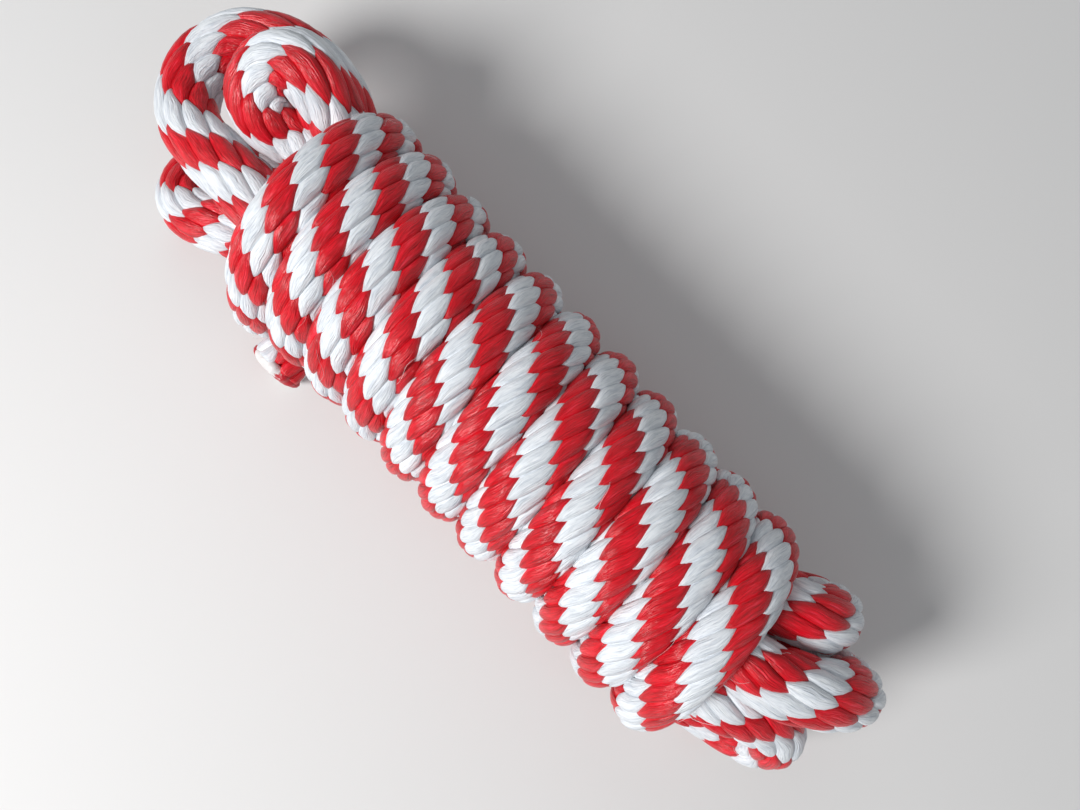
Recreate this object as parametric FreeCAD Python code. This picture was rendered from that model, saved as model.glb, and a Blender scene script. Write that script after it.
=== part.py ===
import FreeCAD, Part
import math
import os

# A rope training leash, put away as a hank: the rope is folded to and fro into a bundle, and its
# working end is wound round the bundle. Millimetres, +Z up, +X along the hank.
# The origin is the middle of the whole object's box, on the surface that the hank lies on.

# Rope
ROPE_D = 16.0
ROPE_R = ROPE_D / 2

# Wound body of the hank. The rope's turns lie closer than its free diameter, because they are
# pulled tight and squeeze each other, and their lowest points are flattened by the hank's weight.
TURNS = 11
TURN_PITCH = 14.0
BODY_R = 32.3
GROOVE_DEPTH = 3.0
SETTLE = 0.6
BODY_LEFT = -70.0
BODY_RIGHT = BODY_LEFT + TURNS * TURN_PITCH
AXIS_X = 2.5
AXIS_Y = 3.7
AXIS_Z = BODY_R - SETTLE

# Cord routing
ARC_SHARE = 0.45
ROOT_DEPTH = 3.0
TIP_LENGTH = 4.0
TIP_ROUND = 1.5

# Routes of the rope outside the wound body. Each point is x along the hank, y to the side of the
# body's axis, and z above the surface. The first and last points of a bight lie on the body's ends.
OUTER_BIGHT = [
    (BODY_LEFT, -11.4, 38.4),
    (-81.6, -11.6, 37.6),
    (-92.6, -11.8, 35.8),
    (-103.4, -13.0, 33.8),
    (-113.2, -10.0, 32.4),
    (-120.2, -2.0, 31.8),
    (-122.2, 8.8, 32.2),
    (-117.6, 18.6, 32.6),
    (-108.6, 25.2, 32.2),
    (-98.0, 27.4, 31.0),
    (-87.6, 24.8, 29.0),
    (-78.8, 20.4, 27.4),
    (BODY_LEFT, 18.4, 26.2),
]
INNER_CURL = [
    (BODY_LEFT, 6.0, 37.8),
    (-78.4, 5.0, 40.8),
    (-87.2, 4.0, 45.2),
    (-94.2, 7.0, 50.0),
    (-96.4, 14.8, 53.6),
    (-91.6, 22.2, 55.4),
    (-82.4, 23.6, 54.6),
    (BODY_LEFT, 17.6, 50.2),
]
TAIL_BIGHT = [
    (BODY_LEFT, -15.4, 20.4),
    (-79.4, -17.0, 19.0),
    (-88.6, -20.6, 18.0),
    (-97.6, -24.8, 16.8),
    (-106.4, -24.8, 14.0),
    (-111.8, -18.8, 10.6),
    (-110.2, -10.2, 8.2),
    (-102.2, -4.2, 8.0),
    (-92.2, 0.4, 8.4),
    (-81.0, 2.6, 10.8),
    (BODY_LEFT, 2.6, 14.0),
]
MIDDLE_BIGHT = [
    (BODY_RIGHT, -1.0, 48.6),
    (93.6, 0.2, 49.6),
    (103.0, 4.8, 48.6),
    (111.2, 10.2, 44.2),
    (116.6, 14.2, 35.6),
    (116.4, 15.0, 25.2),
    (110.8, 12.4, 16.4),
    (102.0, 7.6, 12.2),
    (93.0, 2.4, 12.6),
    (BODY_RIGHT, -0.6, 14.4),
]
UPPER_BIGHT = [
    (BODY_RIGHT, 14.4, 41.6),
    (90.4, 17.2, 43.0),
    (98.0, 21.2, 41.4),
    (102.2, 25.0, 34.6),
    (102.2, 25.6, 25.6),
    (98.0, 23.0, 19.0),
    (90.4, 19.2, 16.8),
    (BODY_RIGHT, 17.4, 18.8),
]
LOWER_BIGHT = [
    (BODY_RIGHT, -15.0, 38.6),
    (92.0, -13.0, 37.6),
    (100.6, -9.6, 34.6),
    (108.6, -6.6, 30.6),
    (114.8, -8.6, 24.6),
    (115.2, -12.8, 17.0),
    (109.4, -16.4, 12.0),
    (100.4, -18.0, 11.6),
    (91.6, -18.4, 14.4),
    (BODY_RIGHT, -17.4, 18.4),
]
TAIL_END = [
    (-57.4, -18.0, 16.0),
    (-55.2, -25.6, 11.0),
    (-53.4, -31.4, 8.0),
    (-52.6, -37.4, 8.0),
]


def place(point):
    """A route point in the part's frame."""
    x, y, z = point
    return FreeCAD.Vector(x + AXIS_X, y + AXIS_Y, z)


def rounded_path(points, name):
    """Straight runs joined by tangent arcs, as one wire. Prints the arcs' radii."""
    edges = []
    radii = []
    here = points[0]
    for before, corner, after in zip(points, points[1:], points[2:]):
        run_in = (corner - before).Length
        run_out = (after - corner).Length
        way_in = (corner - before).normalize()
        way_out = (after - corner).normalize()
        turn = way_in.getAngle(way_out)
        setback = ARC_SHARE * min(run_in, run_out)
        radius = setback / math.tan(turn / 2)
        start = corner - way_in * setback
        end = corner + way_out * setback
        to_centre = (way_out - way_in).normalize()
        centre = corner + to_centre * (radius / math.cos(turn / 2))
        middle = centre + (corner - centre).normalize() * radius
        edges.append(Part.LineSegment(here, start).toShape())
        edges.append(Part.Arc(start, middle, end).toShape())
        radii.append(radius)
        here = end
    edges.append(Part.LineSegment(here, points[-1]).toShape())
    wire = Part.Wire(edges)
    print(name, "length", round(wire.Length, 1), "radii", [round(r, 1) for r in radii])
    return wire


def tube(points, name):
    """The rope along a route, with flat ends square to it."""
    wire = rounded_path(points, name)
    way = (points[1] - points[0]).normalize()
    ring = Part.Wire([Part.makeCircle(ROPE_R, points[0], way)])
    solid = wire.makePipeShell([ring], True, False)
    expected = math.pi * ROPE_R**2 * wire.Length
    print(name, "volume over section times length", round(solid.Volume / expected, 4))
    return solid


def bight(route, body, name):
    """A stretch of rope with both ends against the wound body, from which its ends are cut back."""
    points = [place(p) for p in route]
    for end, inner in ((0, 1), (-1, -2)):
        inward = (points[end] - points[inner]).normalize()
        points[end] = points[end] + inward * ROOT_DEPTH
    return tube(points, name).cut(body)


def wound_body():
    """The outer shape of the turns round the bundle: a round bar with a groove between turns."""
    crest = BODY_R
    groove = BODY_R - GROOVE_DEPTH
    edges = []
    start = FreeCAD.Vector(BODY_LEFT, 0, 0)
    edges.append(Part.LineSegment(start, start + FreeCAD.Vector(0, 0, groove)).toShape())
    for turn in range(TURNS):
        left = BODY_LEFT + turn * TURN_PITCH
        edge = Part.Arc(
            FreeCAD.Vector(left, 0, groove),
            FreeCAD.Vector(left + TURN_PITCH / 2, 0, crest),
            FreeCAD.Vector(left + TURN_PITCH, 0, groove),
        )
        edges.append(edge.toShape())
    end = FreeCAD.Vector(BODY_RIGHT, 0, 0)
    edges.append(Part.LineSegment(end + FreeCAD.Vector(0, 0, groove), end).toShape())
    edges.append(Part.LineSegment(end, start).toShape())
    profile = Part.Face(Part.Wire(edges))
    solid = profile.revolve(FreeCAD.Vector(0, 0, 0), FreeCAD.Vector(1, 0, 0), 360)
    solid.translate(FreeCAD.Vector(AXIS_X, AXIS_Y, AXIS_Z))
    below = Part.makeBox(
        BODY_RIGHT - BODY_LEFT + 2 * ROPE_D,
        4 * BODY_R,
        BODY_R,
        FreeCAD.Vector(BODY_LEFT - ROPE_D + AXIS_X, AXIS_Y - 2 * BODY_R, -BODY_R),
    )
    return solid.cut(below)


def sealed_tip(route):
    """The melted end of the rope: a short plug on the last point of a route, with a rounded rim."""
    last = place(route[-1])
    way = (last - place(route[-2])).normalize()
    plug = Part.makeCylinder(ROPE_R, TIP_LENGTH, last, way)
    far = last + way * TIP_LENGTH
    rim = [
        e
        for e in plug.Edges
        if e.Closed and (e.CenterOfMass - far).Length < TIP_LENGTH / 2
    ]
    return plug.makeFillet(TIP_ROUND, rim)


def tail_end(body):
    """The rope's tail, from where it comes out between two turns of the body."""
    return tube([place(p) for p in TAIL_END], "tail_end").cut(body)


def main():
    os.makedirs("parts", exist_ok=True)
    body = wound_body()
    parts = {
        "wound_hank": body,
        "outer_bight": bight(OUTER_BIGHT, body, "outer_bight"),
        "inner_curl": bight(INNER_CURL, body, "inner_curl"),
        "tail_bight": bight(TAIL_BIGHT, body, "tail_bight"),
        "middle_bight": bight(MIDDLE_BIGHT, body, "middle_bight"),
        "upper_bight": bight(UPPER_BIGHT, body, "upper_bight"),
        "lower_bight": bight(LOWER_BIGHT, body, "lower_bight"),
        "tail_end": tail_end(body),
        "sealed_tip": sealed_tip(TAIL_END),
    }
    names = list(parts)
    for name, shape in parts.items():
        if len(shape.Solids) != 1 or not shape.isValid():
            raise ValueError(name + " isn't one valid solid")
        shape.exportStep("parts/" + name + ".step")
    for i, first in enumerate(names):
        for second in names[i + 1 :]:
            shared = parts[first].common(parts[second]).Volume
            if shared > 0.01:
                print("overlap", first, second, round(shared, 2))
    box = Part.makeCompound(list(parts.values())).optimalBoundingBox()
    print("box x", round(box.XMin, 2), round(box.XMax, 2))
    print("box y", round(box.YMin, 2), round(box.YMax, 2))
    print("box z", round(box.ZMin, 2), round(box.ZMax, 2))


main()
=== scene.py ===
import math

import bpy
import numpy as np
from mathutils import Matrix, Vector


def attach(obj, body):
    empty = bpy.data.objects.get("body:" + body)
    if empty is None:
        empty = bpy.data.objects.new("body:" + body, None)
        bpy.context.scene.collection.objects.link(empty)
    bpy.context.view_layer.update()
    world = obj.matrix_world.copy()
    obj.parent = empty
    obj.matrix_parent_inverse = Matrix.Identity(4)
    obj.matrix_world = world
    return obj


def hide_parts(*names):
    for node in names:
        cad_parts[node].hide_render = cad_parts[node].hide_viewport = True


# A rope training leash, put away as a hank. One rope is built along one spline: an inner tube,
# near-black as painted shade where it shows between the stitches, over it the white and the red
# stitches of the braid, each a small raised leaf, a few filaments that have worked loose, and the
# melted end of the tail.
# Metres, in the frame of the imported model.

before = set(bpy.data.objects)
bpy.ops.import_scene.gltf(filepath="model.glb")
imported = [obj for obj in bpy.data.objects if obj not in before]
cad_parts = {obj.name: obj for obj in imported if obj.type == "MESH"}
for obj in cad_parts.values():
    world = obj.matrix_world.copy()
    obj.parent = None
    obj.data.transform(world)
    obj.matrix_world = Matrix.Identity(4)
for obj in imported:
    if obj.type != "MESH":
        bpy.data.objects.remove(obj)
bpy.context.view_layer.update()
rng = np.random.default_rng(16)

# Rope: its stated diameter, and its radius in the open, in the turns and inside the bundle
FREE_R = 0.0083
WOUND_R = 0.0074
CORE_R = 0.0064

# Wound body. Angles run from +Y over the top, in degrees, and go on through all the turns.
TURNS = 11
TURN_PITCH = 0.01403
FIRST_TOP_X = -0.0633
TURN_R = 0.0245
TURN_Y = -0.0006
AXIS_X = 0.0025
AXIS_Y = 0.0037
AXIS_Z = 0.0319
POINTS_PER_TURN = 16
FIRST_ANGLE = -30.0
LAST_ANGLE = 3600.0 + 178.0
BODY_LEFT = -0.070
BODY_RIGHT = 0.084

# Where the first turns leave an even helix to make room for the tail: the angle that each shift is
# greatest at and its reach, both in degrees, then how far it goes along the hank and off the axis
TURN_SHIFTS = [
    (224.0, 60.0, -0.0050, 0.0085),
    (586.0, 70.0, 0.0030, 0.0),
    (946.0, 70.0, 0.0015, 0.0),
    (200.0, 500.0, 0.0, 0.0010),
]

# Folded strands inside the body: how far they are from its axis, the places along it that they are
# given at, and how far they twist about it, in degrees per metre
CORE_AWAY = 0.0107
CORE_STATIONS = (-0.052, -0.026, 0.0, 0.026, 0.052)
CORE_TWIST = 260.0

# Braid. A stitch's length is along the middle of the rope. Columns of stitches lie side by side.
COLUMNS = 12
COLUMNS_PER_BAND = 3
BAND_PAIRS = COLUMNS // (2 * COLUMNS_PER_BAND)
WOUND_STITCH = 0.0098
FREE_STITCH = 0.0103
OUTER_STITCH = 0.0132

# How far along the rope the outer bight's longer stitches reach, each way from its far end
OUTER_REACH = 0.075

# Half a stitch, counted in pairs of bands
HALF_STITCH = 0.25

# How many pairs of coloured bands have passed the top of each turn, from the first turn
BANDS_AT_TOP = (0.45, 10.6, 20.25, 30.4, 39.15, 46.3, 53.05, 60.1, 66.55, 73.5, 80.0)

# Routes of the rope outside the wound body: x along the hank, y to the side of the body's axis, and
# z above the surface
TAIL_END = [
    (-0.0526, -0.0394, 0.0080),
    (-0.0527, -0.0366, 0.0080),
    (-0.0534, -0.0314, 0.0080),
    (-0.0556, -0.0246, 0.0110),
    (-0.0616, -0.0184, 0.0160),
]
TAIL_BIGHT = [
    (BODY_LEFT, -0.0154, 0.0200),
    (-0.0794, -0.0176, 0.0190),
    (-0.0886, -0.0216, 0.0178),
    (-0.0972, -0.0260, 0.0164),
    (-0.1054, -0.0264, 0.0136),
    (-0.1108, -0.0202, 0.0106),
    (-0.1092, -0.0116, 0.0082),
    (-0.1008, -0.0058, 0.0080),
    (-0.0912, -0.0010, 0.0084),
    (-0.0806, 0.0016, 0.0108),
    (BODY_LEFT, 0.0016, 0.0150),
]
MIDDLE_BIGHT = [
    (BODY_RIGHT, -0.0006, 0.0144),
    (0.0930, 0.0024, 0.0126),
    (0.1016, 0.0074, 0.0122),
    (0.1098, 0.0120, 0.0164),
    (0.1150, 0.0146, 0.0252),
    (0.1152, 0.0138, 0.0356),
    (0.1100, 0.0100, 0.0442),
    (0.1022, 0.0048, 0.0486),
    (0.0932, 0.0002, 0.0496),
    (BODY_RIGHT, -0.0010, 0.0486),
]
OUTER_BIGHT = [
    (BODY_LEFT, -0.0108, 0.0376),
    (-0.0792, -0.0106, 0.0372),
    (-0.0884, -0.0104, 0.0366),
    (-0.0980, -0.0108, 0.0354),
    (-0.1082, -0.0104, 0.0340),
    (-0.1164, -0.0052, 0.0326),
    (-0.1206, 0.0036, 0.0322),
    (-0.1200, 0.0124, 0.0326),
    (-0.1152, 0.0198, 0.0326),
    (-0.1070, 0.0246, 0.0320),
    (-0.0984, 0.0264, 0.0308),
    (-0.0898, 0.0254, 0.0286),
    (-0.0818, 0.0214, 0.0266),
    (-0.0754, 0.0150, 0.0254),
    (BODY_LEFT, 0.0096, 0.0256),
]
UPPER_BIGHT = [
    (BODY_RIGHT, 0.0170, 0.0188),
    (0.0894, 0.0186, 0.0168),
    (0.0956, 0.0216, 0.0190),
    (0.0992, 0.0240, 0.0256),
    (0.0992, 0.0234, 0.0346),
    (0.0956, 0.0200, 0.0414),
    (0.0894, 0.0166, 0.0430),
    (BODY_RIGHT, 0.0140, 0.0416),
]
FIRST_LEAD = [
    (-0.0400, 0.0094, 0.0300),
    (-0.0520, 0.0104, 0.0240),
    (-0.0618, 0.0130, 0.0180),
    (-0.0668, 0.0176, 0.0152),
]
INNER_CURL = [
    (BODY_LEFT, 0.0084, 0.0366),
    (-0.0790, 0.0090, 0.0368),
    (-0.0856, 0.0082, 0.0380),
    (-0.0906, 0.0058, 0.0410),
    (-0.0952, 0.0068, 0.0446),
    (-0.0973, 0.0112, 0.0474),
    (-0.0966, 0.0164, 0.0492),
    (-0.0930, 0.0202, 0.0500),
    (-0.0880, 0.0212, 0.0494),
    (-0.0834, 0.0202, 0.0462),
    (-0.0792, 0.0182, 0.0408),
    (BODY_LEFT, 0.0156, 0.0350),
]
LOWER_BIGHT = [
    (0.0840, -0.0222, 0.0210),
    (0.0912, -0.0176, 0.0144),
    (0.0986, -0.0160, 0.0118),
    (0.1074, -0.0142, 0.0122),
    (0.1136, -0.0110, 0.0172),
    (0.1140, -0.0076, 0.0246),
    (0.1082, -0.0054, 0.0308),
    (0.1004, -0.0076, 0.0348),
    (0.0920, -0.0108, 0.0382),
    (BODY_RIGHT, -0.0122, 0.0388),
]

# How far the rope is rolled about its own middle line at points of its route, in degrees
ROLL_BEFORE = [
    (TAIL_END[2], 90.0),
    (TAIL_BIGHT[3], 0.0),
    (TAIL_BIGHT[8], 0.0),
    (MIDDLE_BIGHT[5], 125.0),
    (OUTER_BIGHT[6], 74.0),
    (UPPER_BIGHT[4], 0.0),
    (FIRST_LEAD[3], 0.0),
]
ROLL_AFTER = [
    (LOWER_BIGHT[0], 0.0),
    (LOWER_BIGHT[5], -110.0),
    (INNER_CURL[5], 0.0),
]


def place(point):
    """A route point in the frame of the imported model."""
    return Vector((point[0] + AXIS_X, point[1] + AXIS_Y, point[2]))


def bump(value, middle, width):
    """1 at middle, falling smoothly to 0 one width away."""
    away = min(abs(value - middle) / width, 1.0)
    return 0.5 + 0.5 * math.cos(math.pi * away)


def turn_point(angle):
    """A point of the winding's middle line."""
    x = FIRST_TOP_X + TURN_PITCH * (angle - 90.0) / 360.0
    radius = TURN_R / math.cos(math.pi / POINTS_PER_TURN) ** 2
    for middle, reach, along, off in TURN_SHIFTS:
        share = bump(angle, middle, reach)
        x += along * share
        radius += off * share
    radians = math.radians(angle)
    return (x, TURN_Y + radius * math.cos(radians), AXIS_Z + radius * math.sin(radians))


def winding():
    """The turns round the bundle."""
    step = 360.0 / POINTS_PER_TURN
    count = round((LAST_ANGLE - FIRST_ANGLE) / step)
    return [turn_point(FIRST_ANGLE + step * i) for i in range(count + 1)]


def core_strand(angle, stations=CORE_STATIONS, away=CORE_AWAY):
    """A folded strand inside the body, at an angle from +Y towards +Z, going towards +X."""
    points = []
    for x in stations:
        radians = math.radians(angle + CORE_TWIST * x)
        y = away * math.cos(radians)
        z = AXIS_Z + away * math.sin(radians)
        points.append((x, y, z))
    return points


def rope_route():
    """The whole rope, from the tip of its tail to its other end inside the bundle."""
    route = TAIL_END + TAIL_BIGHT
    route += core_strand(-126) + MIDDLE_BIGHT
    route += core_strand(162)[::-1] + OUTER_BIGHT
    route += core_strand(-54) + UPPER_BIGHT
    route += core_strand(18, CORE_STATIONS[1:])[::-1] + FIRST_LEAD
    route += winding() + LOWER_BIGHT
    route += core_strand(90)[::-1] + INNER_CURL
    route += core_strand(0, CORE_STATIONS[:3], 0.0)
    return [place(p) for p in route]


LINE_ORDER = 3
POINTS_PER_SPAN = 8


def smooth_line(points):
    """Points along the NURBS spline that has the given control points."""
    data = bpy.data.curves.new("rope_line", "CURVE")
    data.dimensions = "3D"
    spline = data.splines.new("NURBS")
    spline.points.add(len(points) - 1)
    for target, point in zip(spline.points, points):
        target.co = (*point, 1.0)
    spline.order_u = LINE_ORDER
    spline.use_endpoint_u = True
    data.resolution_u = POINTS_PER_SPAN
    holder = bpy.data.objects.new("rope_line", data)
    mesh = bpy.data.meshes.new_from_object(holder)
    line = np.array([v.co for v in mesh.vertices])
    bpy.data.objects.remove(holder)
    bpy.data.curves.remove(data)
    bpy.data.meshes.remove(mesh)
    return line


def evened(values, span, **padding):
    """A running mean over span points, weighted towards its middle."""
    kernel = np.hanning(span)
    kernel /= kernel.sum()
    return np.convolve(np.pad(values, span // 2, **padding), kernel, "valid")


class Rope:
    """The rope's middle line, evenly spaced, with the frame, radius and braid at every point."""

    STEP = 0.0005

    # Points of the line that its place, its radius and its stitches' length are evened out over
    LINE_BLEND = 9
    RADIUS_BLEND = 61
    STITCH_BLEND = 121

    # Share of the rope that is sure to come before the turns
    BEFORE_TURNS = 0.25

    # A strand inside the body is squeezed up to this far from its axis
    CORE_LIMIT = 0.020

    def __init__(self, line):
        along = np.concatenate([[0.0], np.cumsum(np.linalg.norm(np.diff(line, axis=0), axis=1))])
        self.length = along[-1]
        count = int(self.length / self.STEP)
        self.s = np.linspace(0.0, self.length, count)
        axes = [np.interp(self.s, along, line[:, i]) for i in range(3)]
        carried_on = {"mode": "reflect", "reflect_type": "odd"}
        self.middle = np.stack([evened(a, self.LINE_BLEND, **carried_on) for a in axes], 1)
        way = np.gradient(self.middle, axis=0)
        self.way = way / np.linalg.norm(way, axis=1)[:, None]
        self.carry_frame()
        self.find_winding()
        self.set_radius()
        self.set_braid()

    def carry_frame(self):
        """A normal carried along the line without turning about it."""
        normal = np.zeros_like(self.middle)
        current = np.cross(self.way[0], (0.0, 0.0, 1.0))
        for i, way in enumerate(self.way):
            current = current - way * current.dot(way)
            current = current / np.linalg.norm(current)
            normal[i] = current
        self.normal = normal
        self.side = np.cross(self.way, normal)

    def find_winding(self):
        """Where the turns begin and end, and how far round the body's axis each point is."""
        y = self.middle[:, 1] - AXIS_Y
        z = self.middle[:, 2] - AXIS_Z
        away = np.hypot(y, z)
        start = place(turn_point(FIRST_ANGLE))
        end = place(turn_point(LAST_ANGLE))
        late = self.s > self.BEFORE_TURNS * self.length
        gap_start = np.linalg.norm(self.middle - np.array(start), axis=1)
        gap_end = np.linalg.norm(self.middle - np.array(end), axis=1)
        self.first = int(np.argmin(np.where(late, gap_start, np.inf)))
        self.last = int(np.argmin(np.where(late, gap_end, np.inf)))
        angle = np.degrees(np.unwrap(np.arctan2(z, y)))
        base = angle[self.first] - FIRST_ANGLE
        self.round = angle - 360.0 * round(base / 360.0)
        self.outward = np.stack([np.zeros_like(y), y, z], 1) / np.maximum(away, 1e-6)[:, None]

    def wound(self):
        """Whether each point is in the turns."""
        index = np.arange(len(self.s))
        return (index >= self.first) & (index <= self.last)

    def set_radius(self):
        """Full size in the open, squeezed in the turns and more so inside the bundle."""
        x = self.middle[:, 0] - AXIS_X
        y = self.middle[:, 1] - AXIS_Y
        z = self.middle[:, 2] - AXIS_Z
        inside = (x > BODY_LEFT) & (x < BODY_RIGHT)
        in_core = inside & (np.hypot(y, z) <= self.CORE_LIMIT)
        radius = np.where(in_core, CORE_R, FREE_R)
        radius = np.where(self.wound(), WOUND_R, radius)
        self.radius = evened(radius, self.RADIUS_BLEND, mode="edge")

    def set_braid(self):
        """Stitches passed, and the braid's turn about the middle line, at every point."""
        stitch = np.where(self.wound(), WOUND_STITCH, FREE_STITCH)
        outer = self.s[self.nearest(OUTER_BIGHT[7], 0, self.first)]
        stitch = np.where(np.abs(self.s - outer) < OUTER_REACH, OUTER_STITCH, stitch)
        stitch = evened(stitch, self.STITCH_BLEND, mode="edge")
        step = self.s[1] - self.s[0]
        self.passed = np.concatenate([[0.0], np.cumsum(step / stitch[1:])])
        turns = slice(self.first, self.last + 1)
        tops = 90.0 + 360.0 * np.arange(TURNS)
        bands = smooth_through(tops, np.array(BANDS_AT_TOP), self.round[turns])
        outward = self.outward[turns]
        to_side = (outward * self.side[turns]).sum(1)
        to_normal = (outward * self.normal[turns]).sum(1)
        facing = np.unwrap(np.arctan2(to_side, to_normal))
        pairs = self.passed[turns] / 2 - (bands - HALF_STITCH)
        wanted = facing + 2 * math.pi / BAND_PAIRS * pairs
        after = self.last + 1
        self.turn = np.zeros(len(self.s))
        self.turn[turns] = wanted
        self.turn[: self.first] = wanted[0] + self.roll(ROLL_BEFORE, 0, self.first)
        self.turn[after:] = wanted[-1] + self.roll(ROLL_AFTER, after, len(self.s))

    def nearest(self, point, start, stop):
        """The point of the line, from start to stop, that is nearest to a route point."""
        gap = np.linalg.norm(self.middle[start:stop] - np.array(place(point)), axis=1)
        return start + int(np.argmin(gap))

    def roll(self, stations, start, stop):
        """The roll from start to stop, in radians, even between the stations."""
        where = [self.s[self.nearest(point, start, stop)] for point, _ in stations]
        degrees = [value for _, value in stations]
        return np.radians(np.interp(self.s[start:stop], where, degrees))

    def at(self, values, s):
        """Values kept at every point, read at distances s."""
        if values.ndim == 1:
            return np.interp(s, self.s, values)
        return np.stack([np.interp(s, self.s, values[:, i]) for i in range(values.shape[1])], -1)


def smooth_through(stations, values, wanted):
    """A smooth curve through values at stations, carried straight on beyond them."""
    slopes = np.gradient(values, stations)
    out = np.zeros_like(wanted)
    for i, x in enumerate(wanted):
        if x <= stations[0]:
            out[i] = values[0] + slopes[0] * (x - stations[0])
            continue
        if x >= stations[-1]:
            out[i] = values[-1] + slopes[-1] * (x - stations[-1])
            continue
        k = int(np.searchsorted(stations, x)) - 1
        h = stations[k + 1] - stations[k]
        t = (x - stations[k]) / h
        out[i] = (
            (2 * t**3 - 3 * t**2 + 1) * values[k]
            + (t**3 - 2 * t**2 + t) * h * slopes[k]
            + (3 * t**2 - 2 * t**3) * values[k + 1]
            + (t**3 - t**2) * h * slopes[k + 1]
        )
    return out


# Height above the surface at which the rope begins to flatten against it
FLOOR_SOFT = 0.0012


def rest_on_floor(points):
    """Presses what would be under the surface flat against it."""
    z = points[..., 2]
    flattened = FLOOR_SOFT * np.exp(np.minimum(z - FLOOR_SOFT, 0.0) / FLOOR_SOFT)
    points[..., 2] = np.where(z < FLOOR_SOFT, flattened, z)
    return points


def new_piece(name, points, faces, material, smooth=True):
    """A mesh piece in the scene, with one material."""
    mesh = bpy.data.meshes.new(name)
    mesh.from_pydata(points.tolist(), [], faces)
    mesh.update()
    mesh.polygons.foreach_set("use_smooth", [smooth] * len(mesh.polygons))
    piece = bpy.data.objects.new(name, mesh)
    bpy.context.scene.collection.objects.link(piece)
    piece.data.materials.append(material)
    return piece


# Inner tube: sides, points of the line from one ring to the next, and its share of the rope's radius
TUBE_SIDES = 20
TUBE_EVERY = 6
TUBE_SHARE = 0.78


def inner_tube(rope, material):
    """The body of the rope under the stitches, and the line that it follows."""
    middle = rope.middle[::TUBE_EVERY]
    angle = np.linspace(0, 2 * math.pi, TUBE_SIDES, endpoint=False)[None, :, None]
    normal = rope.normal[::TUBE_EVERY][:, None, :]
    side = rope.side[::TUBE_EVERY][:, None, :]
    radius = TUBE_SHARE * rope.radius[::TUBE_EVERY][:, None, None]
    rings = middle[:, None, :] + radius * (np.cos(angle) * normal + np.sin(angle) * side)
    rings = rest_on_floor(rings)
    faces = []
    for i in range(len(middle) - 1):
        low = i * TUBE_SIDES
        high = low + TUBE_SIDES
        for j in range(TUBE_SIDES):
            k = (j + 1) % TUBE_SIDES
            faces.append((low + j, low + k, high + k, high + j))
    last = (len(middle) - 1) * TUBE_SIDES
    faces.append(tuple(range(TUBE_SIDES))[::-1])
    faces.append(tuple(last + j for j in range(TUBE_SIDES)))
    piece = new_piece("rope_inner", rings.reshape(-1, 3), faces, material)
    return piece, [Vector(p) for p in middle]


# Outline of one stitch as it shows, from the pointed end that comes out of the rope to the rounded
# end that lies over the next stitch: share of its length, and its two edges counted in columns
STITCH_ROWS = 12
STITCH_COLS = 8
STITCH_ALONG = (0.0, 0.09, 0.20, 0.39, 0.61, 0.80, 0.91, 1.0)
STITCH_RIGHT = (0.0, 0.17, 0.36, 0.58, 0.40, 0.16, -0.02, -0.36)
STITCH_LEFT = (0.0, -0.36, -0.52, -0.76, -0.96, -0.72, -0.53, -0.36)
STITCH_MIDDLE = -0.18
STITCH_SPAN = 1.10

# How much larger a stitch is than what shows of it, so that its edges tuck under its neighbours
TUCK_ALONG = 1.14
TUCK_ACROSS = 1.16

# A stitch's edge, its crown above that and its rise from end to end, as shares of the rope's radius,
# and how full its crown is along and across
STITCH_BASE = 0.785
STITCH_RISE = 0.232
STITCH_TILT = 0.035
FULL_ALONG = 3
FULL_ACROSS = 2.4

# How uneven the stitches are in length, lean and crown
UNEVEN_SIZE = 0.03
UNEVEN_LEAN = 0.08
UNEVEN_RISE = 0.014

# Fibre coordinates for the yarn's noise: half a stitch's width in millimetres, and how far the noise
# is shifted from column to column and from stitch to stitch
YARN_HALF_WIDTH = 2.2
COLUMN_SHIFT = 7.3
STITCH_SHIFT = 0.37
MM_PER_M = 1000.0

# Stitches left off at the rope's two ends, and the limits of what is left out as unseen: how far a
# stitch in the turns may face the axis, points of the line left whole at each end of the turns, and
# how deep the folded strands show at each end of the body
END_STITCHES = 0.3
FACES_AXIS = -0.72
WHOLE_ENDS = 30
SHOWS_DEEP = 0.028


def stitch_wanted(rope, centre, facing):
    """Whether a stitch can be seen: the bundle's inside is left out."""
    x = rope.at(rope.middle, centre)[0] - AXIS_X
    index = np.interp(centre, rope.s, np.arange(len(rope.s)))
    if rope.first + WHOLE_ENDS < index < rope.last - WHOLE_ENDS:
        return facing > FACES_AXIS
    if BODY_LEFT + SHOWS_DEEP < x < BODY_RIGHT - SHOWS_DEEP:
        return rope.at(rope.radius, centre) > 0.5 * (CORE_R + WOUND_R)
    return True


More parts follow.
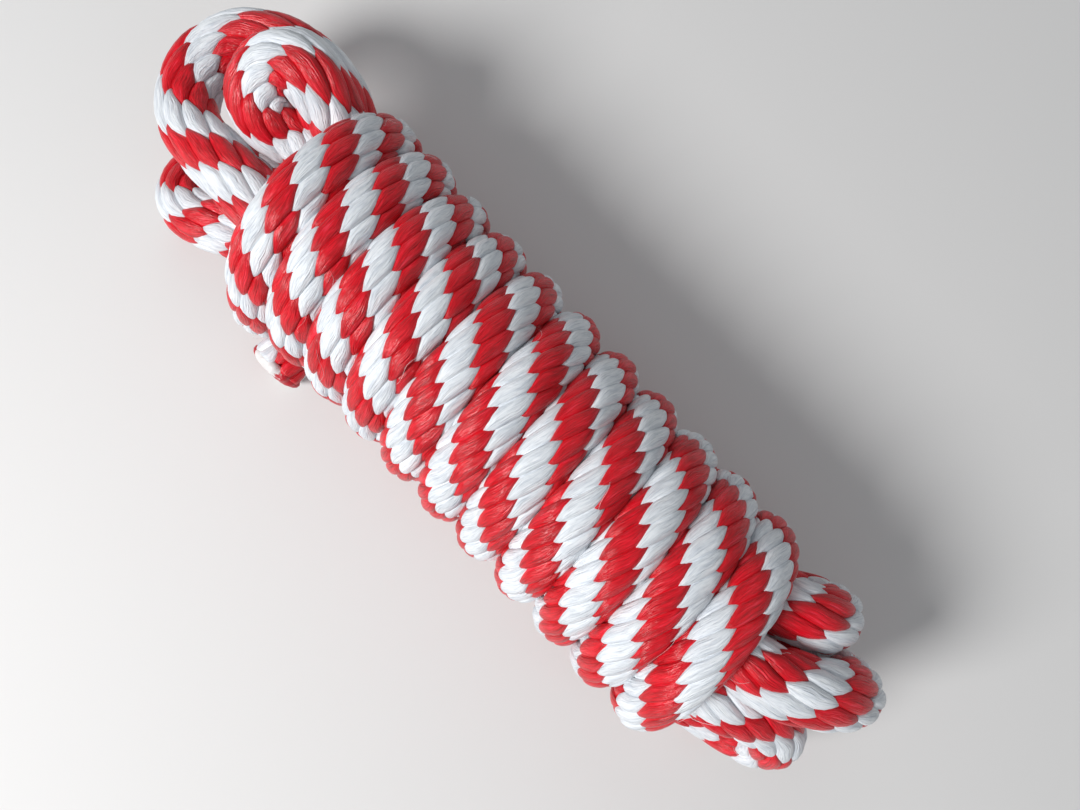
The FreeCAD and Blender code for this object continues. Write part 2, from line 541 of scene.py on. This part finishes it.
def stitches(rope, odd, name, material):
    """All stitches of one colour, as one mesh of raised leaves."""
    t = 0.5 - 0.5 * np.cos(np.linspace(0.0, math.pi, STITCH_ROWS))[:, None]
    u = np.linspace(-1.0, 1.0, STITCH_COLS)[None, :]
    right = np.interp(t, STITCH_ALONG, STITCH_RIGHT)
    left = np.interp(t, STITCH_ALONG, STITCH_LEFT)
    outline = (left + right) / 2 + u * (right - left) / 2 - STITCH_MIDDLE
    along = TUCK_ALONG * STITCH_SPAN * (t - 0.5)
    crest = np.sqrt(1 - np.abs(2 * t - 1) ** FULL_ALONG)
    across = np.sqrt(1 - np.abs(u) ** FULL_ACROSS)
    vertices = []
    marks = []
    column_angle = 2 * math.pi / COLUMNS
    first_passed = rope.passed[0] - END_STITCHES
    last_passed = rope.passed[-1] - END_STITCHES
    lowest = int(math.floor(rope.passed[0]))
    highest = int(math.ceil(rope.passed[-1])) + COLUMNS // COLUMNS_PER_BAND + 1
    for column in range(COLUMNS):
        for n in range(lowest, highest):
            if (n % 2 == 1) != odd:
                continue
            passed = n - column / COLUMNS_PER_BAND
            if not first_passed <= passed <= last_passed:
                continue
            centre = float(np.interp(passed, rope.passed, rope.s))
            turn = float(rope.at(rope.turn, centre)) + column * column_angle
            middle_facing = rope.at(rope.outward, centre) @ (
                math.cos(turn) * rope.at(rope.normal, centre)
                + math.sin(turn) * rope.at(rope.side, centre)
            )
            if not stitch_wanted(rope, centre, middle_facing):
                continue
            size, lean, rise, shade = rng.normal(0.0, 1.0, 4)
            s = np.interp(passed + (1 + UNEVEN_SIZE * size) * along, rope.passed, rope.s)
            s = np.repeat(s, STITCH_COLS, 1)
            place_across = TUCK_ACROSS * outline + UNEVEN_LEAN * lean * (t - 0.5)
            angle = rope.at(rope.turn, s) + column_angle * (column - place_across)
            radius = rope.at(rope.radius, s)
            crown = (STITCH_RISE + UNEVEN_RISE * rise) * crest * across
            height = STITCH_BASE + crown + STITCH_TILT * (t - 0.5)
            away = (radius * height)[..., None]
            points = rope.at(rope.middle, s) + away * (
                np.cos(angle)[..., None] * rope.at(rope.normal, s)
                + np.sin(angle)[..., None] * rope.at(rope.side, s)
            )
            vertices.append(rest_on_floor(points).reshape(-1, 3))
            mark = np.zeros((STITCH_ROWS, STITCH_COLS, 3))
            mark[..., 0] = YARN_HALF_WIDTH * u + COLUMN_SHIFT * column + STITCH_SHIFT * n
            mark[..., 1] = s * MM_PER_M
            mark[..., 2] = shade
            marks.append(mark.reshape(-1, 3))
    count = len(vertices)
    vertices = np.concatenate(vertices)
    marks = np.concatenate(marks)
    faces = []
    for i in range(STITCH_ROWS - 1):
        for j in range(STITCH_COLS - 1):
            a = i * STITCH_COLS + j
            faces.append((a, a + 1, a + STITCH_COLS + 1, a + STITCH_COLS))
    faces = np.array(faces)
    per = STITCH_ROWS * STITCH_COLS
    faces = (faces[None] + per * np.arange(count)[:, None, None]).reshape(-1, 4)
    piece = new_piece(name, vertices, faces.tolist(), material)
    attribute = piece.data.attributes.new("fibre", "FLOAT_VECTOR", "POINT")
    attribute.data.foreach_set("vector", marks.astype(np.float32).ravel())
    print(name, "stitches", count, "triangles", 2 * len(faces))
    return piece


# Melted tip: points round it, then each ring's distance ahead of the cut and its share of the rope's
# radius, and how far the lobes stand out and run ahead
TIP_SIDES = 72
TIP_AHEAD = (-0.0012, -0.0002, 0.0008, 0.0016, 0.0022, 0.0026, 0.0027, 0.0025)
TIP_SIZE = (0.90, 0.97, 0.96, 0.88, 0.73, 0.50, 0.25, 0.04)
LOBE_OUT = 0.045
LOBE_AHEAD = 0.0004


def melted_tip(rope, material):
    """The end of the rope, melted shut: twelve fused lobes drawn together over the cut."""
    angle = np.linspace(0, 2 * math.pi, TIP_SIDES, endpoint=False)
    from_turn = angle - rope.turn[0]
    lobes = np.cos(COLUMNS * from_turn)
    band = np.cos(BAND_PAIRS * from_turn + math.pi * rope.passed[0])
    normal = rope.normal[0]
    side = rope.side[0]
    vertices = []
    bands = []
    for ahead, size in zip(TIP_AHEAD, TIP_SIZE):
        uneven = 0.02 * np.cos(3 * angle + 4 * size) + 0.015 * np.cos(5 * angle + 3 * size)
        radius = rope.radius[0] * size * (1 + LOBE_OUT * lobes * size + uneven)
        out = ahead + LOBE_AHEAD * lobes * size * (1 - size)
        ring = rope.middle[0] - out[:, None] * rope.way[0]
        ring = ring + (radius * np.cos(angle))[:, None] * normal
        ring = ring + (radius * np.sin(angle))[:, None] * side
        vertices.append(rest_on_floor(ring))
        bands.append(band)
    vertices = np.concatenate(vertices)
    faces = []
    for i in range(len(TIP_SIZE) - 1):
        for j in range(TIP_SIDES):
            k = (j + 1) % TIP_SIDES
            low = i * TIP_SIDES
            high = low + TIP_SIDES
            faces.append((low + k, low + j, high + j, high + k))
    last = (len(TIP_SIZE) - 1) * TIP_SIDES
    faces.append(tuple(last + j for j in range(TIP_SIDES))[::-1])
    faces.append(tuple(range(TIP_SIDES)))
    piece = new_piece("melted_tip", vertices, faces, material)
    attribute = piece.data.attributes.new("band", "FLOAT", "POINT")
    attribute.data.foreach_set("value", np.concatenate(bands).astype(np.float32))
    return piece


# Loose filaments: how many, the points along each, their radius and the corners of their section
FIBRE_COUNT = 150
FIBRE_POINTS = 12
FIBRE_R = 0.00004
FIBRE_CORNERS = (0.0, 2.1, 4.2)

# Their range of lengths and of lift off the braid, how far they drift round the rope, their own
# distance from its middle, the lowest that they lie, and what is kept clear at the rope's two ends
FIBRE_LENGTH = (0.005, 0.013)
FIBRE_LIFT = (0.0002, 0.0009)
FIBRE_DRIFT = 0.45
FIBRE_AWAY = 0.985
FIBRE_FLOOR = 0.0002
FIBRE_CLEAR = (0.01, 0.02)

# A filament shows a little further round towards the axis than a stitch does
FIBRE_SHOWS = 0.3


def stray_fibres(rope, count, name, material):
    """Single filaments that have worked loose and stand a little off the braid."""
    vertices = []
    faces = []
    t = np.linspace(0.0, 1.0, FIBRE_POINTS)
    made = 0
    while made < count:
        start = rng.uniform(FIBRE_CLEAR[0], rope.length - FIBRE_CLEAR[1])
        around = rng.uniform(0.0, 2 * math.pi)
        length = rng.uniform(*FIBRE_LENGTH)
        lift = rng.uniform(*FIBRE_LIFT)
        drift = rng.normal(0.0, FIBRE_DRIFT)
        loose = rng.uniform(0.0, 1.0)
        way_out = math.cos(around) * rope.at(rope.normal, start)
        way_out = way_out + math.sin(around) * rope.at(rope.side, start)
        facing = rope.at(rope.outward, start) @ way_out
        if not stitch_wanted(rope, start, facing + FIBRE_SHOWS):
            continue
        made += 1
        s = start + length * t
        angle = around + drift * np.sin(2.2 * t) + 0.08 * np.sin(9 * t + 6 * loose)
        rise = np.where(t > 0.5, np.maximum(np.sin(math.pi * t), loose), np.sin(math.pi * t))
        away = rope.at(rope.radius, s) * FIBRE_AWAY + lift * rise
        line = rope.at(rope.middle, s)
        line = line + (away * np.cos(angle))[:, None] * rope.at(rope.normal, s)
        line = line + (away * np.sin(angle))[:, None] * rope.at(rope.side, s)
        line[:, 2] = np.maximum(line[:, 2], FIBRE_FLOOR)
        base = len(vertices) * 3
        for i in range(FIBRE_POINTS):
            thin = FIBRE_R * (1.0 - 0.5 * t[i])
            corners = []
            for corner in FIBRE_CORNERS:
                shift = math.cos(corner) * rope.at(rope.normal, s[i])
                shift = shift + math.sin(corner) * rope.at(rope.side, s[i])
                corners.append(line[i] + thin * shift)
            vertices.append(corners)
        for i in range(FIBRE_POINTS - 1):
            for j in range(3):
                a = base + 3 * i + j
                b = base + 3 * i + (j + 1) % 3
                faces.append((a, b, b + 3, a + 3))
    return new_piece(name, np.array(vertices).reshape(-1, 3), faces, material, smooth=False)


def blank_material(name):
    """A new material, with its nodes, its links and its shader."""
    material = bpy.data.materials.new(name)
    material.use_nodes = True
    tree = material.node_tree
    return material, tree.nodes, tree.links, tree.nodes["Principled BSDF"]


def scaled(nodes, links, value, factor):
    """A value times a constant."""
    node = nodes.new("ShaderNodeMath")
    node.operation = "MULTIPLY"
    node.inputs[1].default_value = factor
    links.new(value, node.inputs[0])
    return node.outputs["Value"]


def colour_ramp(nodes, stops):
    """A ramp through the colours at its stops, of which a new one already has two."""
    ramp = nodes.new("ShaderNodeValToRGB")
    elements = ramp.color_ramp.elements
    for i, (position, colour) in enumerate(stops):
        element = elements[i] if i < 2 else elements.new(position)
        element.position = position
        element.color = (*colour, 1.0)
    return ramp


def add_relief(nodes, links, shader, height, strength, distance):
    """Raises the surface by a height, in the shading only."""
    relief = nodes.new("ShaderNodeBump")
    relief.inputs["Strength"].default_value = strength
    relief.inputs["Distance"].default_value = distance
    links.new(height, relief.inputs["Height"])
    links.new(relief.outputs["Normal"], shader.inputs["Normal"])


def object_noise(nodes, links, scale, detail):
    """Noise fixed to the object."""
    where = nodes.new("ShaderNodeTexCoord")
    noise = nodes.new("ShaderNodeTexNoise")
    noise.inputs["Scale"].default_value = scale
    noise.inputs["Detail"].default_value = detail
    links.new(where.outputs["Object"], noise.inputs["Vector"])
    return noise


def streaks(nodes, links, parts, across_scale, along_scale):
    """Noise drawn out along a stitch, read from its fibre coordinates in millimetres."""
    place_in = nodes.new("ShaderNodeCombineXYZ")
    links.new(scaled(nodes, links, parts.outputs["X"], across_scale), place_in.inputs["X"])
    links.new(scaled(nodes, links, parts.outputs["Y"], along_scale), place_in.inputs["Y"])
    noise = nodes.new("ShaderNodeTexNoise")
    noise.inputs["Scale"].default_value = 1.0
    noise.inputs["Detail"].default_value = 2.0
    noise.inputs["Roughness"].default_value = 0.55
    links.new(place_in.outputs["Vector"], noise.inputs["Vector"])
    return noise


def fibre_material(name, grain_and_shade, light, grain_and_highlight, roughness, sheen):
    """Bright filament yarn: fibres along each stitch, with painted shade between them and painted
    highlight streaks, and a slightly different shade in each.
    """
    material, nodes, links, shader = blank_material(name)
    mark = nodes.new("ShaderNodeAttribute")
    mark.attribute_name = "fibre"
    parts = nodes.new("ShaderNodeSeparateXYZ")
    links.new(mark.outputs["Vector"], parts.inputs["Vector"])
    bundles = streaks(nodes, links, parts, 1.15, 0.13)
    fibres = streaks(nodes, links, parts, 4.2, 0.30)
    both = nodes.new("ShaderNodeMath")
    both.operation = "ADD"
    links.new(bundles.outputs["Fac"], both.inputs[0])
    links.new(fibres.outputs["Fac"], both.inputs[1])
    # The fibre noise runs from painted shade between fibres, through the yarn's own colour, to
    # painted highlight streaks.
    ramp = colour_ramp(nodes, [(0.34, grain_and_shade), (0.56, light), (0.70, grain_and_highlight)])
    links.new(scaled(nodes, links, both.outputs["Value"], 0.5), ramp.inputs["Fac"])
    shade = nodes.new("ShaderNodeMath")
    shade.operation = "MULTIPLY_ADD"
    shade.inputs[1].default_value = 0.035
    shade.inputs[2].default_value = 1.0
    links.new(parts.outputs["Z"], shade.inputs[0])
    tone = nodes.new("ShaderNodeHueSaturation")
    links.new(ramp.outputs["Color"], tone.inputs["Color"])
    links.new(shade.outputs["Value"], tone.inputs["Value"])
    links.new(tone.outputs["Color"], shader.inputs["Base Color"])
    add_relief(nodes, links, shader, both.outputs["Value"], 0.75, 0.0006)
    shader.inputs["Roughness"].default_value = roughness
    shader.inputs["Sheen Weight"].default_value = sheen
    shader.inputs["Sheen Roughness"].default_value = 0.4
    shader.inputs["Specular IOR Level"].default_value = 0.5
    return material


def mottled_material(name, first, second, scale, roughness, depth):
    """Two colours broken up by noise, which also roughens the surface."""
    material, nodes, links, shader = blank_material(name)
    noise = object_noise(nodes, links, scale, 4.0)
    ramp = colour_ramp(nodes, [(0.35, first), (0.65, second)])
    links.new(noise.outputs["Fac"], ramp.inputs["Fac"])
    links.new(ramp.outputs["Color"], shader.inputs["Base Color"])
    add_relief(nodes, links, shader, noise.outputs["Fac"], 0.6, depth)
    shader.inputs["Roughness"].default_value = roughness
    return material


def melted_material(name):
    """Fused yarn: hard, a little glossy, in the red and white of the bands it was melted from."""
    material, nodes, links, shader = blank_material(name)
    band = nodes.new("ShaderNodeAttribute")
    band.attribute_name = "band"
    noise = object_noise(nodes, links, 700.0, 3.0)
    mixed = nodes.new("ShaderNodeMath")
    mixed.operation = "MULTIPLY_ADD"
    mixed.inputs[1].default_value = 0.45
    links.new(band.outputs["Fac"], mixed.inputs[0])
    links.new(noise.outputs["Fac"], mixed.inputs[2])
    ramp = colour_ramp(nodes, [(0.42, (0.45, 0.004, 0.015)), (0.58, (0.76, 0.74, 0.73))])
    links.new(mixed.outputs["Value"], ramp.inputs["Fac"])
    links.new(ramp.outputs["Color"], shader.inputs["Base Color"])
    add_relief(nodes, links, shader, noise.outputs["Fac"], 0.5, 0.0004)
    shader.inputs["Roughness"].default_value = 0.38
    return material


def plain_material(name, colour, roughness):
    """One even colour."""
    material, _, _, shader = blank_material(name)
    shader.inputs["Base Color"].default_value = (*colour, 1.0)
    shader.inputs["Roughness"].default_value = roughness
    return material


def area_light(name, where, target, size, power):
    """A round soft light that points at a target."""
    data = bpy.data.lights.new(name, "AREA")
    data.shape = "DISK"
    data.size = size
    data.energy = power
    light = bpy.data.objects.new(name, data)
    light.location = where
    way = Vector(target) - Vector(where)
    light.rotation_euler = way.to_track_quat("-Z", "Y").to_euler()
    bpy.context.scene.collection.objects.link(light)


# Camera: close above the hank and a little tilted, as a hand-held phone sees it
CAMERA_AZIMUTH = math.radians(46.7)
CAMERA_TILT = math.radians(5.5)
CAMERA_LENS = 27.03
CAMERA_AT = (0.0271, -0.0033, 0.2424)
CAMERA_SENSOR = 36.0
CAMERA_NEAR = 0.005


def add_camera():
    """The photograph's view of the hank."""
    ahead = Vector((-math.sin(CAMERA_AZIMUTH), math.cos(CAMERA_AZIMUTH), 0.0))
    right = Vector((math.cos(CAMERA_AZIMUTH), math.sin(CAMERA_AZIMUTH), 0.0))
    up = ahead * math.cos(CAMERA_TILT) + Vector((0, 0, 1)) * math.sin(CAMERA_TILT)
    back = right.cross(up)
    data = bpy.data.cameras.new("camera")
    data.lens = CAMERA_LENS
    data.sensor_width = CAMERA_SENSOR
    data.clip_start = CAMERA_NEAR
    camera = bpy.data.objects.new("camera", data)
    turn = Matrix((right, up, back)).transposed().to_4x4()
    camera.matrix_world = Matrix.Translation(Vector(CAMERA_AT)) @ turn
    bpy.context.scene.collection.objects.link(camera)
    bpy.context.scene.camera = camera


FLOOR_SIZE = 12.0


def add_floor():
    """A plain pale floor."""
    bpy.ops.mesh.primitive_plane_add(size=FLOOR_SIZE, location=(0, 0, 0))
    floor = bpy.context.object
    floor.name = "floor"
    floor.data.materials.append(plain_material("floor_paint", (0.72, 0.71, 0.70), 0.8))


LIGHT_TARGET = (0, 0, 0.03)
SKY_COLOUR = (0.9, 0.95, 1.0, 1.0)
SKY_STRENGTH = 0.26


def add_lights():
    """A soft studio: a key light, two weak ones, and a pale sky."""
    area_light("key", (-0.18, -0.58, 0.60), LIGHT_TARGET, 0.36, 7.2)
    area_light("fill", (-0.5, 0.55, 0.55), LIGHT_TARGET, 0.8, 0.8)
    area_light("right", (0.7, 0.1, 0.5), LIGHT_TARGET, 0.6, 0.5)
    world = bpy.data.worlds.new("world")
    world.use_nodes = True
    sky = world.node_tree.nodes["Background"]
    sky.inputs["Color"].default_value = SKY_COLOUR
    sky.inputs["Strength"].default_value = SKY_STRENGTH
    bpy.context.scene.world = world


add_camera()
rope = Rope(smooth_line(rope_route()))
print("rope length", round(rope.length, 4))
# Each yarn's first colour is painted shade between its fibres and its third a painted highlight
# streak.
white = fibre_material(
    "white_yarn", (0.56, 0.60, 0.66), (0.84, 0.87, 0.90), (0.94, 0.95, 0.97), 0.48, 0.20
)
red = fibre_material(
    "red_yarn", (0.38, 0.0, 0.004), (0.74, 0.002, 0.014), (0.90, 0.045, 0.085), 0.34, 0.06
)
# The inner tube's near-black red is painted shade: it shows only in the gaps between stitches.
inner_yarn_painted_shade = mottled_material(
    "inner_yarn_painted_shade", (0.06, 0.004, 0.006), (0.2, 0.01, 0.02), 1200, 0.8, 0.0003
)
loose_yarn = mottled_material(
    "loose_yarn", (0.7, 0.7, 0.72), (0.85, 0.85, 0.87), 900, 0.45, 0.00002
)
melted = melted_material("melted_yarn")
inner, path = inner_tube(rope, inner_yarn_painted_shade)
white_piece = stitches(rope, False, "white_stitches", white)
red_piece = stitches(rope, True, "red_stitches", red)
loose = stray_fibres(rope, FIBRE_COUNT, "loose_fibres", loose_yarn)
tip = melted_tip(rope, melted)
for piece in (inner, white_piece, red_piece, loose):
    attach(piece, "root")
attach(tip, "root")
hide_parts("sealed_tip")
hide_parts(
    "wound_hank",
    "outer_bight",
    "inner_curl",
    "tail_bight",
    "middle_bight",
    "upper_bight",
    "lower_bight",
    "tail_end",
)
add_floor()
add_lights()
bpy.context.scene.view_settings.view_transform = "Standard"
